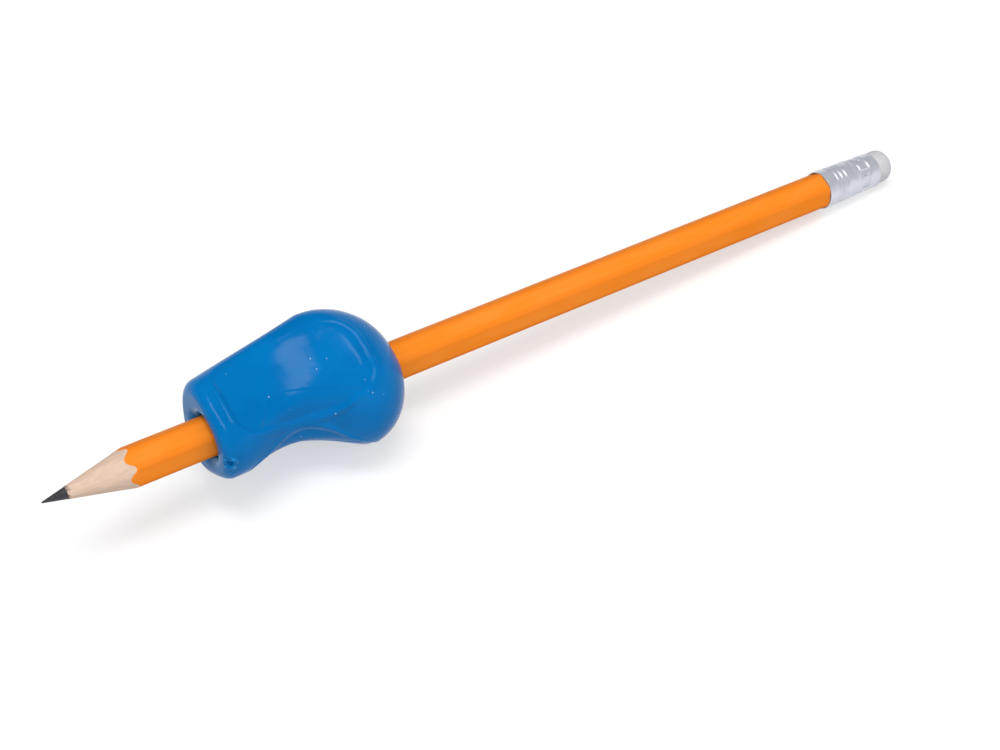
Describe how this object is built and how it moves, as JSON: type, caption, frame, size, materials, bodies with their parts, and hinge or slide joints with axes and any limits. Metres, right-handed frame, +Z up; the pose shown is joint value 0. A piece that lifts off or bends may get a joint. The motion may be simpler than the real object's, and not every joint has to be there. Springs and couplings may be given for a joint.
{
  "type": "pencil with moulded grip",
  "caption": "Hexagonal wood pencil with a soft rubber writing grip that slides along it: ball-shaped rear end, waisted front, two finger scoops and a ridge between them.",
  "frame": {"origin": "centre of the footprint, on the table that the pencil lies on", "axes": "+X along the pencil from its point to its eraser, +Z up; the point is raised because the grip is fatter than the ferrule"},
  "size_m": [0.1902, 0.0236, 0.0261],
  "materials": {
    "graphite": "dull, slightly metallic grey",
    "cedar": "bare, cut by a sharpener",
    "lacquer": "glossy orange lacquer",
    "ferrule_metal": "bright, crimped",
    "eraser_rubber": "matte white",
    "grip_rubber": "moulded, glossy blue"
  },
  "bodies": {
    "pencil": {"lead_core": "graphite", "upper_slat": "cedar", "lower_slat": "cedar", "lacquer_coat": "lacquer", "ferrule": "ferrule_metal", "eraser": "eraser_rubber"},
    "grip": {"grip_sleeve": "grip_rubber"}
  },
  "joints": [
    {"name": "grip_slide", "type": "slide", "parent": "pencil", "child": "grip", "axis": [0.9974, 0, -0.0725], "range_m": [-0.0668, 0.1052]}
  ]
}
